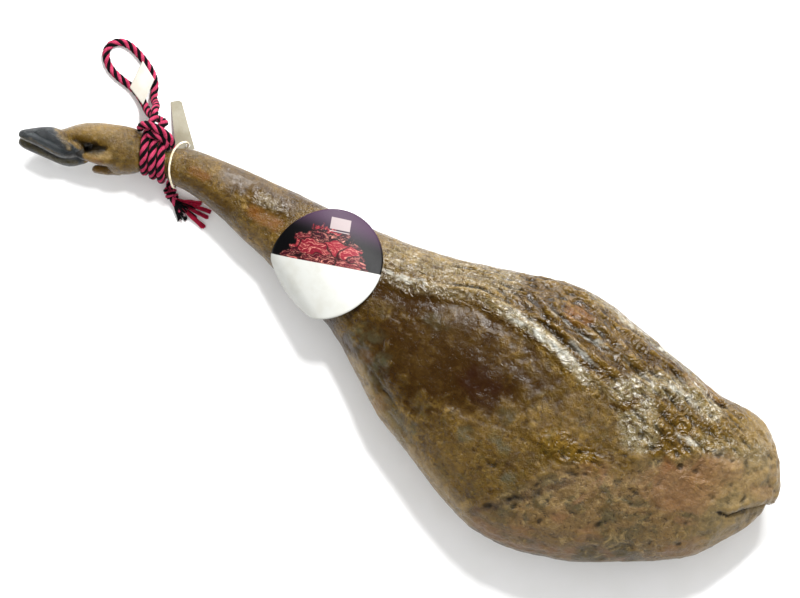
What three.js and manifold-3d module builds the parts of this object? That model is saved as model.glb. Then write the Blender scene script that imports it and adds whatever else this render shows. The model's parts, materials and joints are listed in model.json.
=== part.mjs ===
// A whole cured ham lying on its side: the leg with hoof and dewclaws, its hanging rope,
// a paper label on the rope, a hang tag on an elastic band and a round card label.
// Millimetres, +Z up. While it is built, X runs from the hoof's tip to the butt,
// Y across the leg and Z is the height above the surface that the ham rests on.
import * as THREE from 'three';
import { mergeVertices } from 'three/addons/utils/BufferGeometryUtils.js';
import Module from 'manifold-3d';

const wasm = await Module();
wasm.setup();

// driving dimensions
const ropeDiameter = 7.7;
const wrapSpacing = 9.4;
const bandDiameter = 2;
const paperThickness = 0.8;
const gap = 0.3;
const ringPoints = 34; // points round the leg
const ringsPerStation = 2; // rings between one station of the leg and the next
const wrapSteps = 60; // straight steps in the turns of rope round the shank

// the leg's stations: distance from the hoof's tip, then its lowest and highest Y and Z,
// and how far its crest lies to the +Y side of the middle, as a share of the half width
const legStations = [
  [27, 8, 25, 18, 49, 0],
  [33, 10, 30, 17, 50, 0],
  [41, 14.5, 38, 16.5, 50.5, 0],
  [52, 20.5, 45.5, 16, 51, 0],
  [64, 23, 51, 15, 52, 0],
  [74, 22, 54.5, 14.5, 53, 0],
  [84, 15, 57.5, 14, 54, 0],
  [94, 10.5, 60, 14, 54, 0],
  [104, 12.5, 60, 14.5, 52.5, 0],
  [114, 19, 58.5, 15.5, 51, 0],
  [124, 26.5, 58, 16, 50, 0],
  [134, 30, 58.5, 16, 50, 0],
  [143, 29.5, 61, 16, 50.5, 0],
  [155, 26, 66, 15, 51.5, 0],
  [172, 26, 68.5, 14, 52.5, 0],
  [195, 22, 70, 13.5, 54, 0],
  [220, 15, 71.5, 13, 57, 0],
  [245, 6.5, 72, 12.5, 60, 0],
  [270, -0.5, 73, 12, 62.5, 0],
  [300, -13, 73, 11, 68, 0],
  [330, -23, 73, 10, 73, 0],
  [360, -34, 74, 8, 78.5, 0],
  [385, -51, 76, 6, 82.5, 0.03],
  [410, -70, 78.5, 4, 88, 0.09],
  [440, -91, 83, 1.5, 96, 0.18],
  [480, -110, 93, -1, 104, 0.24],
  [520, -131, 103, -3, 111, 0.26],
  [555, -147, 111, -4, 115.5, 0.26],
  [590, -154, 111.5, -4, 118, 0.24],
  [625, -152.5, 105, -4, 118.5, 0.22],
  [660, -143.5, 96, -4, 116.5, 0.2],
  [695, -130, 87, -3.5, 113, 0.18],
  [730, -113, 78.5, -2.5, 108, 0.16],
  [758, -98, 77, -0.5, 102, 0.14],
  [782, -82, 75, 4, 94, 0.1],
  [802, -68, 65, 10, 85, 0.05],
  [818, -47, 48, 18, 75, 0],
  [829, -28, 32, 28, 64, 0],
  [835, -12, 20, 38, 54, 0],
];

// the two main claws, each from its tip back to its heel
const nearClaw = [
  [-7, 3, 7.5, 38.5, 43.5],
  [-4, 1, 10.5, 36, 46],
  [4, 0.5, 16, 34.6, 49],
  [14, 1, 22.5, 34.2, 51.5],
  [23, 1, 26, 33.8, 52.5],
  [32, 0.5, 26.5, 33, 52.5],
  [42, 1, 25, 32, 52],
  [51, 5, 24, 31, 50.5],
  [58, 11, 22, 33, 47],
];
const farClaw = [
  [-5, -3.5, 1.5, 22.5, 28],
  [-2, -6, 6, 19.5, 31],
  [6, -7, 12, 17, 33.4],
  [18, -6.5, 19, 15, 33.6],
  [30, -6, 23, 14, 34],
  [42, -5.5, 23, 14, 35],
  [52, -3.5, 21, 15, 36],
  [61, 2.5, 19, 17, 33],
  [67, 8.5, 16, 20, 29],
];

// the two small claws behind the foot
const nearDewclaw = [
  [57, 8.5, 11.5, 43.5, 47],
  [61, 8.5, 16.5, 40, 50],
  [67, 9.5, 22.5, 38, 52],
  [75, 10.5, 27, 36, 53],
  [86, 13, 33, 34, 53],
  [96, 18, 34, 36, 50],
];
const farDewclaw = [
  [73.5, 4, 8, 19, 23],
  [76.5, 2, 11, 15.5, 26.5],
  [84, 3.8, 14, 14.5, 28],
  [93, 7, 18, 15, 29],
  [104, 12, 26, 17, 30],
];

// the hanging rope's route, from the knot round its loop and back to the knot
const loopRoute = [
  [109.6, 78.6, 53.6], [107.6, 82.2, 50], [105.6, 86, 43], [104.8, 89, 34], [103.2, 91, 24.5],
  [100.6, 93, 15], [97.6, 96, 8], [95.4, 101, 4.6], [93.2, 107, 4.2], [89.5, 113, 4.2],
  [84, 118.5, 4.2], [77, 123.2, 4.2], [69, 127.3, 4.2], [60.5, 130.8, 4.2], [52, 133, 4.2],
  [44, 132.8, 4.2], [37.5, 129, 4.2], [33.8, 123, 4.2], [34, 116, 4.2], [38, 109.5, 4.2],
  [44, 104.5, 4.2], [51.5, 101, 4.2], [60, 98.8, 4.2], [69, 97, 4.2], [78, 94.3, 4.2],
  [86, 90.2, 4.6], [92, 86, 7.4], [96.6, 82.6, 14.2], [100.8, 80.2, 23], [105.2, 79, 32],
  [110.6, 78.8, 40.5], [116.2, 78.8, 48.5], [120.4, 78.5, 54.2],
];

// the rope's tail, from under the shank to its stopper knot
const tailRoute = [
  [146.6, 44.5, 7.4], [148.2, 40.5, 5.6], [149, 36, 4.6], [149.2, 31, 4.2], [149.6, 26, 4.1],
];

// the elastic band's route round the shank and through the tag's hole
const bandRoute = [
  [142.4, 46, 54], [140.8, 56, 50.6], [142.6, 65, 43.5], [146, 69.6, 33], [148.4, 70.3, 20],
  [149.4, 69.2, 10], [149.6, 66.4, 3.4], [149.8, 61, 4.2], [150.6, 52, 11.4], [152.4, 42, 12.6],
  [155.4, 31, 17.4], [157, 24.4, 27], [155.4, 24, 37], [151.2, 28.4, 46], [145.8, 36.4, 52.4],
];

function catmullRom(a, b, c, d, t) {
  const t2 = t * t;
  const t3 = t2 * t;
  return 0.5 * (2 * b + (c - a) * t + (2 * a - 5 * b + 4 * c - d) * t2 + (3 * b - a - 3 * c + d) * t3);
}

// stations with further ones drawn smoothly between them
function refined(stations, perStation) {
  const out = [];
  const last = stations.length - 1;
  for (let i = 0; i < last; i++) {
    const around = [stations[Math.max(i - 1, 0)], stations[i], stations[i + 1], stations[Math.min(i + 2, last)]];
    for (let k = 0; k < perStation; k++) {
      out.push(stations[i].map((_, c) => catmullRom(...around.map((s) => s[c]), k / perStation)));
    }
  }
  out.push(stations[last]);
  return out;
}

// one ring of a leg or claw: an oval between the station's limits, its corners filled a little
function ovalRing([x, yLow, yHigh, zLow, zHigh, crest = 0], points, roundness) {
  const halfWidth = (yHigh - yLow) / 2;
  const halfHeight = (zHigh - zLow) / 2;
  const bulge = (value) => Math.sign(value) * Math.abs(value) ** roundness;
  const ring = [];
  for (let k = 0; k < points; k++) {
    const turn = (2 * Math.PI * k) / points;
    const lift = Math.max(Math.sin(turn), 0) ** 2;
    const across = bulge(Math.cos(turn)) + crest * lift * (1 - Math.abs(Math.cos(turn)));
    ring.push([
      x,
      (yLow + yHigh) / 2 + halfWidth * across,
      (zLow + zHigh) / 2 + halfHeight * bulge(Math.sin(turn)),
    ]);
  }
  return ring;
}

// a closed body through rings of equally many points, with a flat fan over each end
function loft(rings) {
  const count = rings[0].length;
  const middle = (ring) => [0, 1, 2].map((c) => ring.reduce((sum, p) => sum + p[c], 0) / count);
  const positions = [...rings.flat(), middle(rings[0]), middle(rings[rings.length - 1])].flat();
  const firstMiddle = rings.length * count;
  const index = [];
  for (let r = 0; r < rings.length - 1; r++) {
    for (let k = 0; k < count; k++) {
      const next = (k + 1) % count;
      const [a, b, c, d] = [r * count + k, r * count + next, (r + 1) * count + k, (r + 1) * count + next];
      index.push(a, b, d, a, d, c);
    }
  }
  for (let k = 0; k < count; k++) {
    const next = (k + 1) % count;
    const lastRing = (rings.length - 1) * count;
    index.push(firstMiddle, next, k, firstMiddle + 1, lastRing + k, lastRing + next);
  }
  const geometry = new THREE.BufferGeometry();
  geometry.setAttribute('position', new THREE.Float32BufferAttribute(positions, 3));
  geometry.setIndex(index);
  return geometry;
}

function solidOf(geometry) {
  const bare = geometry.clone();
  bare.deleteAttribute('normal');
  bare.deleteAttribute('uv');
  const merged = mergeVertices(bare, 1e-4);
  return new wasm.Manifold(new wasm.Mesh({
    numProp: 3,
    vertProperties: new Float32Array(merged.attributes.position.array),
    triVerts: new Uint32Array(merged.index.array),
  }));
}

function geometryOf(solid) {
  const mesh = solid.getMesh();
  const geometry = new THREE.BufferGeometry();
  geometry.setAttribute('position', new THREE.BufferAttribute(mesh.vertProperties, 3));
  geometry.setIndex(new THREE.BufferAttribute(mesh.triVerts, 1));
  return geometry;
}

function circlePoints(radius, count) {
  return Array.from({ length: count }, (_, k) => {
    const turn = (2 * Math.PI * k) / count;
    return new THREE.Vector2(radius * Math.cos(turn), radius * Math.sin(turn));
  });
}

// a tube of round section along a smooth open route
function tube(route, diameter, sides, steps) {
  const path = new THREE.CatmullRomCurve3(route.map((p) => new THREE.Vector3(...p)), false, 'centripetal');
  const section = new THREE.Shape(circlePoints(diameter / 2, sides));
  return new THREE.ExtrudeGeometry(section, { steps, extrudePath: path });
}

// the leg with its hoof and dewclaws, cut flat where it rests
function hamGeometry() {
  const body = loft(refined(legStations, ringsPerStation).map((s) => ovalRing(s, ringPoints, 0.92)));
  const claws = [nearClaw, farClaw, nearDewclaw, farDewclaw];
  const clawGeometry = (stations) => loft(refined(stations, 2).map((s) => ovalRing(s, 16, 0.88)));
  const whole = claws.reduce((sum, stations) => sum.add(solidOf(clawGeometry(stations))), solidOf(body));
  const below = new THREE.BoxGeometry(1000, 600, 40).translate(450, 0, -20);
  const groove = tube(wrapsRoute(), ropeDiameter + 2.4 * gap, 8, wrapSteps);
  return geometryOf(whole.subtract(solidOf(below)).subtract(solidOf(groove)));
}

// the rope's turns round the thin of the shank: three cross its upper side, leaning towards the
// hoof on the +Y side, and both ends are underneath
function wrapsRoute() {
  const [centreX, centreY, centreZ] = [125.5, 44.6, 33];
  const [reachY, reachZ] = [19.2, 21.6];
  const [firstTurn, lastTurn, middleTurn] = [-0.25, 2.75, 1.25];
  const [stepsPerTurn, leanY, leanZ] = [12, -0.47, -0.1];
  const route = [];
  for (let k = 0; k <= (lastTurn - firstTurn) * stepsPerTurn; k++) {
    const turn = firstTurn + k / stepsPerTurn;
    const y = reachY * Math.cos(2 * Math.PI * turn);
    const z = reachZ * Math.sin(2 * Math.PI * turn);
    const along = wrapSpacing * (middleTurn - turn);
    route.push([centreX + along + leanY * y + leanZ * z, centreY + y, centreZ + z]);
  }
  return route;
}

// the round lump where the rope crosses itself over the wraps
function knotGeometry() {
  return new THREE.CapsuleGeometry(6.6, 22, 5, 14)
    .rotateZ(Math.PI / 2)
    .rotateZ(-0.06)
    .translate(120, 67.8, 55.4);
}

function stopperKnotGeometry() {
  return new THREE.SphereGeometry(1, 16, 10).scale(8.2, 6.8, 6.6).rotateZ(-0.7).translate(154.6, 17.4, 7);
}

// the frayed ends of the rope as one fanned bundle
function tasselGeometry() {
  const stations = [
    [163.5, 6, 13, 2.5, 10],
    [167, 3.5, 15, 1.2, 10.4],
    [174, -0.5, 18, 0.6, 9.4],
    [182, -2, 21, 0.4, 7.6],
    [191, -1, 22, 0.4, 6],
    [199, 1, 20.5, 0.5, 4.4],
  ];
  return loft(stations.map((s) => ovalRing(s, 14, 0.8)));
}

// an elastic band: a closed round loop
function bandGeometry() {
  const path = new THREE.CatmullRomCurve3(bandRoute.map((p) => new THREE.Vector3(...p)), true);
  return new THREE.TubeGeometry(path, 52, bandDiameter / 2, 8, true);
}

// a strip of card with a clipped corner and a hole for the band, one end on the surface
function tagGeometry() {
  const strip = new THREE.Shape();
  strip.moveTo(0, -5.5);
  strip.lineTo(0, 3);
  strip.lineTo(2.5, 5.5);
  strip.lineTo(30, 8);
  strip.lineTo(52, 10);
  strip.lineTo(52, -9);
  strip.lineTo(30, -7.5);
  strip.closePath();
  strip.holes.push(new THREE.Path(circlePoints(2.4, 10).map((p) => p.add(new THREE.Vector2(47.2, 3.7)))));
  return new THREE.ExtrudeGeometry(strip, { depth: paperThickness, bevelEnabled: false })
    .rotateY(-0.12)
    .rotateZ(THREE.MathUtils.degToRad(-53.5))
    .translate(118.5, 103.5, 0.4);
}

// a sheet of card drawn over a grid of points, given by the height of its lower face
function bentCard(rows, columns, pointAt) {
  const positions = [];
  for (const side of [0, 1]) {
    for (let r = 0; r <= rows; r++) {
      for (let c = 0; c <= columns; c++) positions.push(...pointAt(r / rows, c / columns, side));
    }
  }
  const width = columns + 1;
  const layer = (rows + 1) * width;
  const index = [];
  const quad = (a, b, c, d) => index.push(a, b, c, a, c, d);
  for (let r = 0; r < rows; r++) {
    for (let c = 0; c < columns; c++) {
      const a = r * width + c;
      quad(a, a + width, a + width + 1, a + 1);
      quad(a + layer, a + layer + 1, a + layer + width + 1, a + layer + width);
    }
  }
  const edge = [];
  for (let c = 0; c < columns; c++) edge.push(c);
  for (let r = 0; r < rows; r++) edge.push(r * width + columns);
  for (let c = columns; c > 0; c--) edge.push(rows * width + c);
  for (let r = rows; r > 0; r--) edge.push(r * width);
  edge.forEach((a, k) => {
    const b = edge[(k + 1) % edge.length];
    quad(a, b, b + layer, a + layer);
  });
  const geometry = new THREE.BufferGeometry();
  geometry.setAttribute('position', new THREE.Float32BufferAttribute(positions, 3));
  geometry.setIndex(index);
  return geometry;
}

// a paper label lying over both runs of the rope's loop
function ropeLabelGeometry() {
  const corners = [[71, 95], [92.5, 86.5], [71, 125], [89, 116.5]];
  const between = (a, b, t) => a + (b - a) * t;
  return bentCard(6, 6, (along, across, side) => {
    const [x, y] = [0, 1].map((c) => between(
      between(corners[0][c], corners[1][c], across),
      between(corners[2][c], corners[3][c], across),
      along,
    ));
    const curl = 0.024 * Math.max(x - 77, 0) ** 2;
    return [x, y, 8.6 + curl + side * paperThickness];
  });
}

// the round card label: an oval sheet bent over the leg about an axis that slants across it
const label = {
  crown: [327.5, 21.4, 78.8], // its highest line passes here
  heading: -29.9, // degrees from the leg's length to the axis that it bends about
  climb: 0.165, // rise of that axis towards the butt
  tilt: 0.115, // rise across it, towards +Y
  halfLength: 52.5, // along the axis
  halfWidth: 61.5, // across it, flat
  upperRadius: 110,
  lowerRadius: 90,
  lowerStart: 34, // where the tight bend on the -Y side begins
  tightRadius: 17,
  steepest: 1.2, // radians below level at the -Y edge
};

// where a point q across the flat label lies once bent: across, drop and slope
function bentAcross(q) {
  if (q >= 0) {
    const angle = q / label.upperRadius;
    return [label.upperRadius * Math.sin(angle), label.upperRadius * (1 - Math.cos(angle)), -angle];
  }
  const gentle = Math.min(-q, label.lowerStart) / label.lowerRadius;
  const tight = Math.min(Math.max(-q - label.lowerStart, 0) / label.tightRadius, label.steepest - gentle);
  const rest = Math.max(-q - label.lowerStart - label.tightRadius * tight, 0);
  const end = gentle + tight;
  const across = label.lowerRadius * Math.sin(gentle) + label.tightRadius * (Math.sin(end) - Math.sin(gentle));
  const drop = label.lowerRadius * (1 - Math.cos(gentle)) + label.tightRadius * (Math.cos(gentle) - Math.cos(end));
  return [-(across + rest * Math.cos(end)), drop + rest * Math.sin(end), end];
}

function cardLabelGeometry() {
  const [rings, spokes] = [5, 32];
  const heading = THREE.MathUtils.degToRad(label.heading);
  const place = (p, q, side) => {
    const [across, drop, slope] = bentAcross(q);
    const lift = side * paperThickness;
    const a = across - lift * Math.sin(slope);
    return [
      label.crown[0] + p * Math.cos(heading) - a * Math.sin(heading),
      label.crown[1] + p * Math.sin(heading) + a * Math.cos(heading),
      label.crown[2] - drop + label.climb * p + label.tilt * a + lift * Math.cos(slope),
    ];
  };
  const ring = (share, side) => Array.from({ length: spokes }, (_, k) => {
    const turn = (2 * Math.PI * k) / spokes;
    return place(share * label.halfLength * Math.cos(turn), share * label.halfWidth * Math.sin(turn), side);
  });
  const shares = Array.from({ length: rings }, (_, k) => (k + 1) / rings);
  return loft([...shares.map((s) => ring(s, 0)), ...shares.reverse().map((s) => ring(s, 1))]);
}

function finish(color, roughness) {
  return new THREE.MeshStandardMaterial({ color, roughness, metalness: 0 });
}

const leg = new THREE.Group();
const cords = new THREE.Group();
const piece = (parent, name, geometry, material) => {
  const mesh = new THREE.Mesh(geometry, material);
  mesh.name = name;
  parent.add(mesh);
};

piece(leg, 'ham', hamGeometry(), finish('#7a5a2c', 0.5));
piece(leg, 'rope_wraps', tube(wrapsRoute(), ropeDiameter, 8, wrapSteps), finish('#c0426c', 0.8));
piece(leg, 'rope_knot', knotGeometry(), finish('#b83c66', 0.8));
piece(leg, 'tag_band', bandGeometry(), finish('#e9e0c6', 0.6));
piece(leg, 'hang_tag', tagGeometry(), finish('#a7a493', 0.7));
piece(leg, 'card_label', cardLabelGeometry(), finish('#dcdad2', 0.4));
piece(cords, 'rope_loop', tube(loopRoute, ropeDiameter, 8, 78), finish('#d0507c', 0.8));
piece(cords, 'rope_tail', tube(tailRoute, ropeDiameter, 8, 8), finish('#3a1620', 0.8));
piece(cords, 'tail_knot', stopperKnotGeometry(), finish('#b83c66', 0.8));
piece(cords, 'tassel', tasselGeometry(), finish('#8c1f3c', 0.8));
piece(cords, 'rope_label', ropeLabelGeometry(), finish('#f1efe6', 0.6));

// the origin is under the middle of the ham, without the free rope, on the surface
const extent = new THREE.Box3().setFromObject(leg);
const centre = extent.getCenter(new THREE.Vector3());
const group = new THREE.Group();
group.add(leg, cords);
group.position.set(-centre.x, -centre.y, -extent.min.z);

export default group;
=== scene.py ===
import json
import math
import random

import bmesh
import bpy
import numpy as np
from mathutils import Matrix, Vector, noise

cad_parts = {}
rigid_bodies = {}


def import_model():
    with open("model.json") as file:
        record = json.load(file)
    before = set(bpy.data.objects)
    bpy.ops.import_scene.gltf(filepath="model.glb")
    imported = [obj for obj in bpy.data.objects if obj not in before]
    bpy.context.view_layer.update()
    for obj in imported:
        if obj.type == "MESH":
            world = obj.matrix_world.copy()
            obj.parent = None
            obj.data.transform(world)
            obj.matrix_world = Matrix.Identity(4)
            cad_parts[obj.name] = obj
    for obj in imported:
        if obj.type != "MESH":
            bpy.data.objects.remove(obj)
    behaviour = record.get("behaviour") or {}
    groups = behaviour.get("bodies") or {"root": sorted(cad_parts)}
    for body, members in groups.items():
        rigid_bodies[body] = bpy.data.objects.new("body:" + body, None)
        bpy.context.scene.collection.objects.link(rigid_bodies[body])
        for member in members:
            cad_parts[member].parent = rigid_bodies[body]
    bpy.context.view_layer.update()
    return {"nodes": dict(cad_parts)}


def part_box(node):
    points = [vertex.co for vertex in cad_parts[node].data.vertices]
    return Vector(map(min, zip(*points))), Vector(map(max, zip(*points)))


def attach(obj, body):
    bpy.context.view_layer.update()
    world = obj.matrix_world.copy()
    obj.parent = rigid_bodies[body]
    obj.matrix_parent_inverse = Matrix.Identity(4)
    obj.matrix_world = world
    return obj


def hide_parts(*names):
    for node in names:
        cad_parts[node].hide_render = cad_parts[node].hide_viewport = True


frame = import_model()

for spare in list(bpy.data.objects):
    if spare.name in ("Cube", "Light", "Camera"):
        bpy.data.objects.remove(spare)

# The leg is laid out in millimetres: x from the hoof's tip to the butt, y across it, z up
# from the surface. legOrigin is where that zero sits in the frame.
hamLow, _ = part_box("ham")
legOrigin = np.array([hamLow.x + 0.007, hamLow.y + 0.15425, 0.0])


def legPoint(x, y, z):
    return Vector(np.array([x, y, z]) / 1000 + legOrigin)


def legLine(points):
    return np.array(points, float) / 1000 + legOrigin


view = {
    "lens": 240,
    "height": 5.386,
    "centre": (409.4, 22.8),  # the point of the leg under the camera
    "turn": 26,               # degrees the camera is turned about its own axis
}

cameraData = bpy.data.cameras.new("camera")
cameraData.lens = view["lens"]
camera = bpy.data.objects.new("camera", cameraData)
camera.location = legPoint(*view["centre"], view["height"] * 1000)
camera.rotation_euler = (0, 0, math.radians(view["turn"]))
bpy.context.scene.collection.objects.link(camera)
bpy.context.scene.camera = camera
print("camera set")


def lengthsAlong(line):
    return np.concatenate([[0], np.cumsum(np.linalg.norm(np.diff(line, axis=0), axis=1))])


def smoothRoute(points, step, closed=False, perGap=24):
    # a curve through the points, worked out at perGap places in each gap, then cut into even steps
    points = np.asarray(points, float)
    if closed:
        ring = np.vstack([points[-1:], points, points[:2]])
    else:
        ring = np.vstack([2 * points[0] - points[1], points, 2 * points[-1] - points[-2]])
    curve = []
    for i in range(1, len(ring) - 2):
        p0, p1, p2, p3 = ring[i - 1:i + 3]
        a, b, c = (math.sqrt(np.linalg.norm(q - p)) for p, q in ((p0, p1), (p1, p2), (p2, p3)))
        m1 = ((p1 - p0) / a - (p2 - p0) / (a + b) + (p2 - p1) / b) * b
        m2 = ((p2 - p1) / b - (p3 - p1) / (b + c) + (p3 - p2) / c) * b
        for t in np.linspace(0, 1, perGap, endpoint=False):
            curve.append((2 * t**3 - 3 * t**2 + 1) * p1 + (t**3 - 2 * t**2 + t) * m1
                         + (3 * t**2 - 2 * t**3) * p2 + (t**3 - t**2) * m2)
    curve = np.array(curve + [ring[-2]])
    along = lengthsAlong(curve)
    places = np.linspace(0, along[-1], max(3, round(along[-1] / step) + 1))
    line = np.stack([np.interp(places, along, curve[:, k]) for k in range(3)], axis=1)
    return line[:-1] if closed else line


def framesAlong(line, closed=False):
    if closed:
        tangents = np.roll(line, -1, axis=0) - np.roll(line, 1, axis=0)
    else:
        tangents = np.gradient(line, axis=0)
    tangents /= np.linalg.norm(tangents, axis=1)[:, None]
    side = np.cross(tangents[0], (0, 0, 1) if abs(tangents[0][2]) < 0.9 else (0, 1, 0))
    normals = []
    for t in tangents:
        side = side - t * np.dot(side, t)
        side = side / np.linalg.norm(side)
        normals.append(side)
    normals = np.array(normals)
    return normals, np.cross(tangents, normals)


def newStore():
    return {"points": [], "faces": [], "uvs": [], "slots": [], "count": 0}


def addTube(store, line, radius, sides=8, slot=0, closed=False, flat=1.0):
    # a tube along the line; open ends are rounded off with two more rings
    line = np.asarray(line, float)
    radii = np.broadcast_to(np.asarray(radius, float), (len(line),)).copy()
    if not closed:
        lead, trail = line[0] - line[1], line[-1] - line[-2]
        lead, trail = lead / np.linalg.norm(lead), trail / np.linalg.norm(trail)
        dome = ((0.62, 0.72), (0.92, 0.36))  # how far out and how wide each ring is, in radii
        line = np.vstack([[line[0] + lead * radii[0] * far for far, _ in reversed(dome)], line,
                          [line[-1] + trail * radii[-1] * far for far, _ in dome]])
        radii = np.concatenate([[radii[0] * wide for _, wide in reversed(dome)], radii,
                                [radii[-1] * wide for _, wide in dome]])
    n, along = len(line), lengthsAlong(line)
    normals, binormals = framesAlong(line, closed)
    turn = np.linspace(0, 2 * math.pi, sides, endpoint=False)
    rings = (line[:, None, :] + radii[:, None, None]
             * (np.cos(turn)[None, :, None] * normals[:, None, :]
                + flat * np.sin(turn)[None, :, None] * binormals[:, None, :]))
    start = store["count"]
    store["points"].extend(map(tuple, rings.reshape(-1, 3)))
    store["count"] += n * sides
    for i in range(n if closed else n - 1):
        j = (i + 1) % n
        u0, u1 = along[i], along[i] + 0.001 if j == 0 else along[j]
        for k in range(sides):
            m = (k + 1) % sides
            store["faces"].append((start + i * sides + k, start + j * sides + k,
                                   start + j * sides + m, start + i * sides + m))
            v0, v1 = k / sides, (k + 1) / sides
            store["uvs"].append(((u0, v0), (u1, v0), (u1, v1), (u0, v1)))
            store["slots"].append(slot)
    if not closed:
        for i, order in ((0, 1), (n - 1, -1)):
            cap = [start + i * sides + k for k in range(sides)][::order]
            store["faces"].append(tuple(cap))
            store["uvs"].append(tuple((along[i], k / sides) for k in range(sides)))
            store["slots"].append(slot)


def makePiece(name, store, materials, nodes=()):
    mesh = bpy.data.meshes.new(name)
    mesh.from_pydata(store["points"], [], store["faces"])
    layer = mesh.uv_layers.new(name="wrap")
    layer.data.foreach_set("uv", [c for face in store["uvs"] for uv in face for c in uv])
    for material in materials:
        mesh.materials.append(material)
    mesh.polygons.foreach_set("material_index", store["slots"])
    mesh.polygons.foreach_set("use_smooth", [True] * len(store["faces"]))
    mesh.update()
    return placePiece(name, mesh, nodes)


def placePiece(name, mesh, nodes=()):
    piece = bpy.data.objects.new(name, mesh)
    bpy.context.scene.collection.objects.link(piece)
    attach(piece, "root")
    if nodes:
        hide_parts(*nodes)
    return piece


def colour(r, g, b):
    def linear(c):
        c /= 255
        return c / 12.92 if c <= 0.04045 else ((c + 0.055) / 1.055) ** 2.4
    return (linear(r), linear(g), linear(b), 1)


class Finish:
    # a small bench for building one node material
    def __init__(self, name, **fixed):
        self.material = bpy.data.materials.new(name)
        self.material.use_nodes = True
        self.nodes = self.material.node_tree.nodes
        self.links = self.material.node_tree.links
        self.shader = self.nodes["Principled BSDF"]
        for socket, value in fixed.items():
            self.shader.inputs[socket.replace("_", " ")].default_value = value

    def put(self, socket, value):
        if isinstance(value, tuple) and socket.type == "RGBA":
            socket.default_value = colour(*value)
        elif isinstance(value, (int, float, tuple)):
            socket.default_value = value
        else:
            self.links.new(value, socket)

    def node(self, kind, inputs=None, **settings):
        made = self.nodes.new(kind)
        for name, value in settings.items():
            setattr(made, name, value)
        for name, value in (inputs or {}).items():
            self.put(made.inputs[name], value)
        return made

    def attribute(self, name, output="Fac"):
        return self.node("ShaderNodeAttribute", attribute_name=name).outputs[output]

    def mapped(self, spot, stretch=(1, 1, 1), turn=0.0):
        inputs = {"Vector": spot, "Scale": stretch, "Rotation": (0, 0, turn)}
        return self.node("ShaderNodeMapping", inputs).outputs[0]

    def flow(self, stretch=(1, 1, 1)):
        return self.mapped(self.attribute("flow", "Vector"), stretch)

    def place(self, stretch=(1, 1, 1)):
        return self.mapped(self.node("ShaderNodeTexCoord").outputs["Object"], stretch)

    def wrap(self):
        return self.node("ShaderNodeUVMap", uv_map="wrap").outputs[0]

    def parts(self, vector):
        return self.node("ShaderNodeSeparateXYZ", {"Vector": vector}).outputs

    def grain(self, scale, detail=4, rough=0.55, place=None, twist=0.0, kind="FBM"):
        inputs = {"Scale": scale, "Detail": detail, "Roughness": rough, "Distortion": twist,
                  "Vector": place or self.place()}
        return self.node("ShaderNodeTexNoise", inputs, noise_type=kind).outputs["Fac"]

    def cells(self, scale, place, feature="F1", output="Distance"):
        inputs = {"Scale": scale, "Vector": place}
        return self.node("ShaderNodeTexVoronoi", inputs, feature=feature).outputs[output]

    def span(self, value, low, high, a=0.0, b=1.0, smooth=True):
        kind = "SMOOTHSTEP" if smooth else "LINEAR"
        inputs = {"Value": value, "From Min": low, "From Max": high, "To Min": a, "To Max": b}
        return self.node("ShaderNodeMapRange", inputs, interpolation_type=kind).outputs["Result"]

    def sum(self, how, a, b=0, clamp=False):
        return self.node("ShaderNodeMath", {0: a, 1: b}, operation=how, use_clamp=clamp).outputs[0]

    def times(self, a, b, clamp=False):
        return self.sum("MULTIPLY", a, b, clamp)

    def plus(self, a, b, clamp=False):
        return self.sum("ADD", a, b, clamp)

    def minus(self, a, b):
        return self.sum("SUBTRACT", a, b)

    def apart(self, a, b):
        return self.sum("ABSOLUTE", self.minus(a, b))

    def mix(self, share, a, b):
        inputs = {0: share, 6: a, 7: b}
        return self.node("ShaderNodeMix", inputs, data_type="RGBA").outputs[2]

    def bump(self, height, distance, strength=1.0, below=None):
        inputs = {"Height": height, "Distance": distance, "Strength": strength}
        if below is not None:
            inputs["Normal"] = below
        return self.node("ShaderNodeBump", inputs).outputs[0]

    def finish(self, base, rough, normal=None):
        self.put(self.shader.inputs["Base Color"], base)
        self.put(self.shader.inputs["Roughness"], rough)
        if normal is not None:
            self.put(self.shader.inputs["Normal"], normal)
        return self.material


rope = {
    "diameter": 0.0077,
    "strandRadius": 0.00205,  # the four strands press into each other a little
    "helixRadius": 0.0019,
    "pitch": 0.0225,          # one full turn of a strand
    "yarns": 5,               # yarns round a strand
    "yarnTurns": 620,         # how often they cross it in a metre
    "step": 0.0011,           # between the rings of a strand
    # each yarn colour has a darker copy, painted shade for the grooves between the yarns
    "pink": (186, 66, 98),
    "pinkDeep": (120, 20, 46),
    "black": (3, 2, 4),
    "blackLit": (13, 8, 12),
}


def yarnFinish(name, main, shade):
    bench = Finish(name, Sheen_Weight=0.03, Sheen_Roughness=0.5, Specular_IOR_Level=0.06)
    along, around = bench.parts(bench.wrap())[:2]
    twist = bench.plus(bench.times(along, rope["yarnTurns"]), bench.times(around, rope["yarns"]))
    waver = bench.times(bench.grain(900, 2, 0.5), 0.6)
    ply = bench.sum("SINE", bench.times(bench.plus(twist, waver), 2 * math.pi))
    fibre = bench.grain(2600, 3, 0.7)
    height = bench.plus(bench.span(ply, -1, 1, 0, 0.75, False), bench.times(fibre, 0.35))
    # the shade colour is painted shade in the grooves between the yarns, varied at random by a broad noise
    tone = bench.plus(bench.span(ply, -1, 1, 0.15, 0.75, False),
                      bench.span(bench.grain(160, 3), 0.35, 0.65, -0.2, 0.3))
    return bench.finish(bench.mix(tone, shade, main), bench.span(fibre, 0.2, 0.8, 0.7, 0.92),
                        bench.bump(height, 0.00025, 0.9))


pinkYarn = yarnFinish("rose yarn", rope["pink"], rope["pinkDeep"])
blackYarn = yarnFinish("black yarn", rope["blackLit"], rope["black"])


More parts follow.
